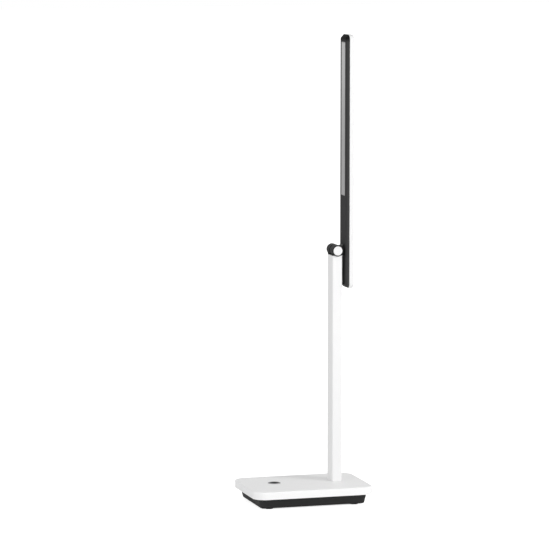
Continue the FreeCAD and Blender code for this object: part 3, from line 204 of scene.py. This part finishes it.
def painted(name, dark, light, roughness, peel=260.0, coat=0.12, specular=0.5):
    """Sprayed coat: a faint orange peel over a smooth tube or casting."""
    paint = Paint(name)
    cloud = paint.noise(7.0, 2.0, 0.5, (1, 1, 0.35))
    colour = paint.ramp(cloud, [(0.3, grey(dark)), (0.7, grey(light))])
    skin = paint.noise(peel, 1.0, 0.4)
    dust = paint.noise(2400.0, 1.0, 0.5)
    gloss = paint.math("ADD", paint.span(cloud, roughness - 0.03, roughness + 0.04), paint.span(skin, -0.03, 0.03))
    peel_relief = paint.bump(skin, 0.00003, 0.5)
    normal = paint.bump(dust, 0.000006, 0.4, peel_relief)
    paint.connect(Base_Color=colour, Roughness=gloss, Normal=normal)
    paint.constant(Specular_IOR_Level=specular, Coat_Weight=coat, Coat_Roughness=0.2)
    return paint


def metal(name, colour, roughness, stretch=(1, 1, 1), scale=600.0):
    """Bare metal with fine turning or rolling marks."""
    paint = Paint(name)
    marks = paint.noise(scale, 3.0, 0.6, stretch)
    patch = paint.noise(40.0, 3.0, 0.5)
    dark = tuple(0.8 * part for part in colour)
    base = paint.ramp(paint.math("MULTIPLY", marks, paint.span(patch, 0.8, 1.2)), [(0.3, dark), (0.6, colour)])
    paint.connect(Base_Color=base, Roughness=paint.span(marks, roughness - 0.07, roughness + 0.1),
                  Normal=paint.bump(marks, 0.00001, 0.6))
    paint.constant(Metallic=1.0)
    return paint


def rubber():
    paint = Paint("foot_rubber")
    cell = paint.noise(1500.0, 3.0, 0.7)
    dust = paint.noise(60.0, 4.0, 0.7)
    paint.connect(Base_Color=paint.ramp(dust, [(0.35, grey(0.02)), (0.75, grey(0.045))]),
                  Roughness=paint.span(cell, 0.75, 0.92), Normal=paint.bump(cell, 0.00005, 0.8))
    return paint


def button_with_painted_shade():
    """Dished key of dark grey, with painted shade that darkens the hollow towards its middle and a paler rim, and fine
    turning rings.
    """
    paint = Paint("button_grey")
    low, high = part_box("button_cap")
    middle = [(a + b) / 2 for a, b in zip(low, high)]
    shift = paint.add("ShaderNodeVectorMath", operation="SUBTRACT")
    shift.inputs[1].default_value = (middle[0], middle[1], 0.0)
    paint.join(paint.place, shift.inputs[0])
    flat = paint.add("ShaderNodeVectorMath", operation="MULTIPLY")
    flat.inputs[1].default_value = (1.0, 1.0, 0.0)
    paint.join(shift.outputs["Vector"], flat.inputs[0])
    length = paint.add("ShaderNodeVectorMath", operation="LENGTH")
    paint.join(flat.outputs["Vector"], length.inputs[0])
    radius = paint.math("DIVIDE", length.outputs["Value"], 0.010)
    uneven = paint.math("ADD", radius, paint.span(paint.noise(160.0), -0.03, 0.03))
    # Painted shade: the key's grey darkens towards the middle of the hollow and pales towards the rim.
    colour = paint.ramp(uneven, [(0.25, grey(0.015)), (0.62, grey(0.040)), (0.98, grey(0.40))])
    rings = paint.math("SINE", paint.math("MULTIPLY", radius, 260.0))
    paint.connect(Base_Color=colour, Roughness=paint.span(paint.noise(90.0, 3.0), 0.5, 0.62),
                  Normal=paint.bump(rings, 0.000004, 0.5))
    paint.constant(Specular_IOR_Level=0.2)
    return paint


def diffuser_with_painted_shade():
    """Frosted sheet, unlit: greyer at its rim, with painted shade that darkens it towards its lower end."""
    paint = Paint("diffuser_grey")
    low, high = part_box("diffuser")
    parts = paint.add("ShaderNodeSeparateXYZ")
    paint.join(paint.place, parts.inputs[0])
    across = paint.math("ABSOLUTE", paint.math("SUBTRACT", parts.outputs["Y"], (low[1] + high[1]) / 2))
    edge = paint.span(across, 0.0, 1.0, 0.0085, 0.0101)
    end = paint.math("ABSOLUTE", paint.math("SUBTRACT", parts.outputs["Z"], (low[2] + high[2]) / 2))
    far = paint.span(end, 0.0, 1.0, 0.1180, 0.1202)
    rim = paint.math("MAXIMUM", edge, far)
    frost = paint.noise(1800.0, 2.0, 0.6)
    cloud = paint.noise(12.0, 2.0, 0.5)
    body = paint.ramp(cloud, [(0.3, grey(0.93)), (0.7, grey(1.0))])
    height = paint.span(parts.outputs["Z"], 0.0, 1.0, low[2], high[2])
    # Painted shade: the sheet is darker towards its lower end and paler towards its upper end.
    shade = paint.ramp(height, [(0.0, grey(0.375)), (0.3, grey(0.385)), (0.62, grey(0.44)), (0.88, grey(0.51))])
    body = paint.mix(1.0, body, shade, "MULTIPLY")
    grain = paint.mix(1.0, body, paint.ramp(frost, [(0.3, grey(0.96)), (0.7, grey(1.0))]), "MULTIPLY")
    colour = paint.mix(rim, grain, grey(0.16))
    paint.connect(Base_Color=colour, Roughness=paint.span(frost, 0.42, 0.55), Normal=paint.bump(frost, 0.00001, 0.5))
    return paint


def tray_black_with_painted_light():
    """Matte black of the arm's lower side with painted light: a paler copy of the black plastic, a painted sheen paler
    towards the seam with the shell, and painted shade darkest at the tip.
    """
    # Painted light: the tray's black is a paler copy of the black plastic, standing in for the light on its faces.
    paint = moulded("tray_black_painted_light", 0.075, 0.085, 0.65, 700.0, 0.00005, specular=0.05)
    low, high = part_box("arm_tray")
    parts = paint.add("ShaderNodeSeparateXYZ")
    paint.join(paint.place, parts.inputs[0])
    # Painted light: a painted sheen makes the tray paler towards its seam with the shell and darker at its flat face.
    seam = paint.ramp(paint.span(parts.outputs["X"], 0.0, 1.0, low.x, high.x - 0.002),
                      [(0.0, grey(0.55)), (0.25, grey(0.55)), (0.7, grey(0.75)), (1.0, grey(1.0))])
    # Painted shade: the tray darkens over its last few millimetres at the tip.
    tip = paint.ramp(paint.span(parts.outputs["Z"], 0.0, 1.0, high.z - 0.011, high.z - 0.006),
                     [(0.0, grey(1.0)), (1.0, grey(0.2))])
    base = paint.shader.inputs["Base Color"]
    plain = base.links[0].from_socket
    paint.join(paint.mix(1.0, paint.mix(1.0, plain, seam, "MULTIPLY"), tip, "MULTIPLY"), base)
    return paint


def board_finish(name, mask, shade):
    paint = Paint(name)
    weave = paint.add("ShaderNodeTexBrick")
    weave.inputs["Scale"].default_value = 1400.0
    paint.join(paint.place, weave.inputs["Vector"])
    cloud = paint.noise(50.0, 3.0, 0.5)
    paint.connect(Base_Color=paint.ramp(cloud, [(0.3, shade), (0.7, mask)]),
                  Roughness=paint.span(cloud, 0.3, 0.45), Normal=paint.bump(weave.outputs["Fac"], 0.00001, 0.3))
    return paint


FINISHES = {
    "white_plastic": moulded("white_plastic", 0.805, 0.825, 0.42),
    "black_plastic": moulded("black_plastic", 0.018, 0.023, 0.5, 700.0, 0.00005, specular=0.3),
    "foot_rubber": rubber(),
    "ballast_steel": metal("ballast_steel", (0.34, 0.33, 0.32), 0.5, (1, 0.1, 1), 300.0),
    "cast_metal": metal("cast_metal", (0.52, 0.52, 0.53), 0.55, (1, 1, 1), 900.0),
    "white_paint": painted("white_paint", 0.82, 0.84, 0.36),
    "black_paint": painted("black_paint", 0.008, 0.012, 0.45, 500.0, 0.02, 0.15),
    "screw_steel": metal("screw_steel", (0.6, 0.6, 0.6), 0.3, (1, 1, 0.2), 900.0),
    "circuit_board": board_finish("circuit_board", (0.03, 0.16, 0.07), (0.02, 0.12, 0.05)),
    "component_black": moulded("component_black", 0.022, 0.032, 0.5, 1200.0),
    "component_white": moulded("component_white", 0.74, 0.8, 0.45, 1100.0),
    "can_metal": metal("can_metal", (0.72, 0.72, 0.74), 0.28, (1, 1, 0.1), 700.0),
    "button_grey": button_with_painted_shade(),
    "bush_brass": metal("bush_brass", (0.7, 0.55, 0.25), 0.3, (1, 0.1, 1), 700.0),
    "spine_aluminium": metal("spine_aluminium", (0.75, 0.75, 0.76), 0.35, (1, 1, 0.05), 500.0),
    "light_board": board_finish("light_board", (0.8, 0.8, 0.8), (0.74, 0.74, 0.74)),
    "light_chips": moulded("light_chips", 0.8, 0.88, 0.35, 1500.0, 0.00001, (1.0, 0.86, 0.3)),
    "diffuser_grey": diffuser_with_painted_shade(),
    "lead_black": moulded("lead_black", 0.03, 0.04, 0.5, 1500.0),
}


# Lit and shaded copies of slot finishes: painted light and shade on these nodes.
PAINTED_LIGHT_COPIES = {
    # Painted light: the cover's white is a brighter copy of the white plastic, standing in for light on the slab.
    "base_cover": moulded("cover_white_painted_light", 0.905, 0.925, 0.42),
    "arm_tray": tray_black_with_painted_light(),
    # Painted shade: the knuckle's black is a darker copy of the black plastic, standing in for the shade between the
    # hinge ears.
    "arm_knuckle": moulded("knuckle_black_painted_shade", 0.006, 0.009, 0.45, 700.0, 0.00003, specular=0.25),
}
SLOTS = {entry["node"]: entry["material_slot"] for entry in frame["record"]["subparts"]}


def finish_of(node):
    """The node's lit or shaded copy of its finish, or else that of its slot in the record."""
    return PAINTED_LIGHT_COPIES.get(node, FINISHES[SLOTS[node]]).material


def dress_nodes():
    for node in SLOTS:
        mesh = nodes[node].data
        mesh.materials.clear()
        mesh.materials.append(finish_of(node))


# Finer forms for the nodes that show: each stands where its node stands and has its size

FACET = math.radians(24.0)
CREASE = math.radians(32.0)
ROUND_STEPS = 64


def stand_for(node, form):
    """Show a form in place of a CAD node, on the node's own body and with its finish."""
    mesh = bpy.data.meshes.new(f"{node}_form")
    form.to_mesh(mesh)
    form.free()
    mesh.shade_smooth()
    mesh.set_sharp_from_angle(angle=CREASE)
    mesh.materials.append(finish_of(node))
    piece = bpy.data.objects.new(f"{node}_form", mesh)
    scene.collection.objects.link(piece)
    level = piece.modifiers.new("even_normals", "WEIGHTED_NORMAL")
    level.keep_sharp = True
    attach(piece, nodes[node]["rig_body"])
    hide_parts(node)


def from_outline(across, along, half_across, half_along, corner):
    """Distance outside a rounded rectangle's outline; inside it the distance is negative."""
    over = (abs(across) - half_across + corner, abs(along) - half_along + corner)
    return math.hypot(max(over[0], 0.0), max(over[1], 0.0)) + min(max(over), 0.0) - corner


def copied(node):
    """The node's form with its flat faces whole again."""
    form = bmesh.new()
    form.from_mesh(nodes[node].data)
    bmesh.ops.remove_doubles(form, verts=form.verts, dist=0.000002)
    bmesh.ops.dissolve_limit(form, angle_limit=math.radians(0.3), verts=form.verts, edges=form.edges)
    return form


def soften(form, radius, chosen, segments=3):
    """Round the sharp edges whose middles are chosen."""
    edges = []
    for edge in form.edges:
        middle = (edge.verts[0].co + edge.verts[1].co) / 2
        if edge.is_manifold and edge.calc_face_angle() > FACET and chosen(middle):
            edges.append(edge)
    bmesh.ops.bevel(form, geom=edges, offset=radius, segments=segments, profile=0.5, affect="EDGES",
                    clamp_overlap=True)
    return form


def softened_cover():
    low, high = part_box("base_cover")

    def outer(middle):
        edge = from_outline(middle.x, middle.y, high.x, high.y, 0.019)
        return edge > -0.0016 or middle.z > high.z - 0.0001

    stand_for("base_cover", soften(copied("base_cover"), 0.0005, outer))


def softened_plinth():
    floor_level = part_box("foot_front_left")[1].z

    def lower(middle):
        return middle.z < floor_level + 0.0001 and from_outline(middle.x, middle.y, 0.0841, 0.0546, 0.0061) > -0.0004

    stand_for("base_plinth", soften(copied("base_plinth"), 0.0016, lower, 4))


def arm_distance(middle):
    """Distance outside the arm's outline, seen along X."""
    low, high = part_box("arm_shell")
    centre = (low + high) / 2
    return from_outline(middle.y - centre.y, middle.z - centre.z, high.y - centre.y, high.z - centre.z, 0.008)


def softened_arm():
    stand_for("arm_shell", soften(copied("arm_shell"), 0.0004, lambda middle: arm_distance(middle) > -0.0013))
    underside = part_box("arm_tray")[0].x

    def shown(middle):
        return middle.x < underside + 0.0001 and arm_distance(middle) > -0.0052

    stand_for("arm_tray", soften(copied("arm_tray"), 0.0006, shown))


def sunk_diffuser():
    """The sheet lies just below the tray's flat face, as in the photograph."""
    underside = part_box("arm_tray")[0].x
    form = copied("diffuser")
    for point in form.verts:
        if point.co.x < underside - 0.0001:
            point.co.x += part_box("arm_tray")[0].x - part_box("diffuser")[0].x + 0.0003
    stand_for("diffuser", soften(form, 0.0002, lambda middle: middle.x < underside + 0.001))


def softened_metal():
    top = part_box("stem_tube")[1].z
    stand_for("stem_tube", soften(copied("stem_tube"), 0.0003, lambda middle: middle.z > top - 0.0001))
    for node in ("front_cap", "rear_cap"):
        stand_for(node, soften(copied(node), 0.00025, lambda middle: True))


def turn(form, profile, centre):
    """Add a solid turned about an upright line; a radius may be a number or depend on the angle."""
    rings = []
    for radius, height in profile:
        angles = [0.0] if radius == 0.0 else [2 * math.pi * step / ROUND_STEPS for step in range(ROUND_STEPS)]
        ring = []
        for angle in angles:
            reach = radius(angle) if callable(radius) else radius
            ring.append(form.verts.new((centre[0] + reach * math.cos(angle), centre[1] + reach * math.sin(angle), height)))
        rings.append(ring)
    for first, second in zip(rings, rings[1:]):
        for step in range(ROUND_STEPS):
            following = step + 1
            corners = [first[step % len(first)], first[following % len(first)],
                       second[following % len(second)], second[step % len(second)]]
            form.faces.new(list(dict.fromkeys(corners)))
    return form


def quarter(radius, height, bend, start, steps=5):
    """Points of a quarter circle of a turned profile, from an angle on, clockwise."""
    angles = [start - math.pi / 2 * step / steps for step in range(steps + 1)]
    return [(radius + bend * math.cos(angle), height + bend * math.sin(angle)) for angle in angles]


def closed(form):
    bmesh.ops.recalc_face_normals(form, faces=form.faces)
    return form


def dished_button():
    """Key with a smooth round hollow and a rounded edge."""
    low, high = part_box("button_cap")
    centre = ((low.x + high.x) / 2, (low.y + high.y) / 2)
    radius, hollow, depth, bend = 0.010, 0.0091, 0.0011, 0.0004
    profile = []
    for step in range(13):
        out = hollow * step / 12
        profile.append((out, high.z - depth * (1 + math.cos(math.pi * out / hollow)) / 2))
    profile += quarter(radius - bend, high.z - bend, bend, math.pi / 2)
    rim_top, rim_low = low.z + 0.0048, low.z + 0.0038
    profile += [(radius, rim_top), (0.0112, rim_top), (0.0112, rim_low), (0.0026, rim_low), (0.0026, low.z), (0.0, low.z)]
    stand_for("button_cap", closed(turn(bmesh.new(), profile, centre)))


def turned_feet():
    """Rubber pads with a rounded lower edge and a shallow hollow underneath."""
    for node in ("foot_front_left", "foot_front_right", "foot_rear_left", "foot_rear_right"):
        low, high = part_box(node)
        centre = ((low.x + high.x) / 2, (low.y + high.y) / 2)
        top, bend = 0.0075, 0.0005
        base = 0.0071 - bend
        profile = [(0.0, high.z), (top, high.z)] + quarter(base, bend, bend, 0.0)
        profile += [(0.0052, 0.0), (0.0048, 0.0004), (0.0, 0.0004)]
        stand_for(node, closed(turn(bmesh.new(), profile, centre)))


def cross(reach, half):
    """Outline of a screwdriver cross with arms of that reach and half width."""

    def radius(angle):
        off = abs((angle + math.pi / 4) % (math.pi / 2) - math.pi / 4)
        return min(reach / math.cos(off), half / max(math.sin(off), 0.001))

    return radius


def turned_screws():
    """Pan heads with a cross, seen in their recesses from below."""
    cover_places = [(x, y) for x in (-0.050, 0.050) for y in (-0.0455, 0.0455)]
    stem_places = [(0.054 + x, 0.0087 + y) for x in (-0.017, 0.017) for y in (-0.021, 0.021)]
    for node, head, shank, places in (("base_screws", 0.0030, 0.0014, cover_places),
                                      ("stem_screws", 0.0032, 0.0018, stem_places)):
        low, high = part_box(node)
        face, seat = low.z, 0.0050
        profile = [(0.0, face + 0.0012), (cross(0.0009, 0.0002), face + 0.0012), (cross(0.0017, 0.00035), face)]
        profile += [(head - 0.0008, face), (head - 0.0002, face + 0.0004), (head, face + 0.0009), (head, seat)]
        profile += [(shank, seat), (shank, high.z), (0.0, high.z)]
        form = bmesh.new()
        for place in places:
            turn(form, profile, place)
        stand_for(node, closed(form))


# Floor and light


def add_floor():
    bpy.ops.mesh.primitive_plane_add(size=24.0, location=(0.0, 4.0, 0.0))
    floor = bpy.context.object
    floor.name = "floor"
    material = bpy.data.materials.new("floor")
    material.use_nodes = True
    tree = material.node_tree
    shader = tree.nodes["Principled BSDF"]
    shader.inputs["Base Color"].default_value = (0.86, 0.86, 0.86, 1.0)
    shader.inputs["Roughness"].default_value = 0.9
    shader.inputs["Specular IOR Level"].default_value = 0.0
    seen = seen_directly(tree)
    glow = tree.nodes.new("ShaderNodeEmission")
    glow.inputs["Color"].default_value = (1.0, 1.0, 1.0, 1.0)
    tree.links.new(scaled(tree, seen, FLOOR_GLOW), glow.inputs["Strength"])
    both = tree.nodes.new("ShaderNodeAddShader")
    tree.links.new(shader.outputs["BSDF"], both.inputs[0])
    tree.links.new(glow.outputs["Emission"], both.inputs[1])
    tree.links.new(both.outputs["Shader"], tree.nodes["Material Output"].inputs["Surface"])
    floor.data.materials.append(material)


FLOOR_GLOW = 0.75
WORLD_LEVEL = 0.84
WORLD_TOP = 0.47


def scaled(tree, socket, factor):
    node = tree.nodes.new("ShaderNodeMath")
    node.operation = "MULTIPLY"
    node.inputs[1].default_value = factor
    tree.links.new(socket, node.inputs[0])
    return node.outputs["Value"]


def seen_directly(tree):
    """One where the camera or a clear material looks at it."""
    path = tree.nodes.new("ShaderNodeLightPath")
    either = tree.nodes.new("ShaderNodeMath")
    either.operation = "MAXIMUM"
    tree.links.new(path.outputs["Is Camera Ray"], either.inputs[0])
    tree.links.new(path.outputs["Is Transmission Ray"], either.inputs[1])
    return either.outputs["Value"]


def add_world():
    """Soft light from all round, weaker from straight above; the camera sees plain white."""
    world = bpy.data.worlds.new("studio")
    scene.world = world
    world.use_nodes = True
    tree = world.node_tree
    background = tree.nodes["Background"]
    background.inputs["Color"].default_value = (1.0, 1.0, 1.0, 1.0)
    direction = tree.nodes.new("ShaderNodeTexCoord")
    parts = tree.nodes.new("ShaderNodeSeparateXYZ")
    tree.links.new(direction.outputs["Generated"], parts.inputs[0])
    height = tree.nodes.new("ShaderNodeMapRange")
    height.inputs["To Min"].default_value = WORLD_LEVEL
    height.inputs["To Max"].default_value = WORLD_TOP
    tree.links.new(parts.outputs["Z"], height.inputs["Value"])
    level = tree.nodes.new("ShaderNodeMapRange")
    level.inputs["To Max"].default_value = 1.0
    tree.links.new(height.outputs["Result"], level.inputs["To Min"])
    tree.links.new(seen_directly(tree), level.inputs["Value"])
    tree.links.new(level.outputs["Result"], background.inputs["Strength"])


def add_lamp(name, place, aim, size, power):
    data = bpy.data.lights.new(name, "AREA")
    data.shape = "RECTANGLE"
    data.size, data.size_y = size
    data.energy = power
    lamp = bpy.data.objects.new(name, data)
    lamp.location = place
    lamp.rotation_euler = (Vector(aim) - Vector(place)).to_track_quat("-Z", "Y").to_euler()
    scene.collection.objects.link(lamp)


add_camera()
dress_nodes()
softened_cover()
softened_plinth()
softened_arm()
sunk_diffuser()
softened_metal()
dished_button()
turned_feet()
turned_screws()
add_floor()
add_world()
add_lamp("front", (0.2, -2.6, 0.7), (0.0, 0.0, 0.3), (2.2, 1.6), 14.5)
add_lamp("right", (1.75, -1.45, 1.35), (0.0, 0.0, 0.1), (0.8, 0.8), 22.0)
add_lamp("left", (-2.4, -0.6, 0.9), (0.0, 0.0, 0.3), (1.6, 1.6), 13.0)
scene.view_settings.view_transform = "Standard"
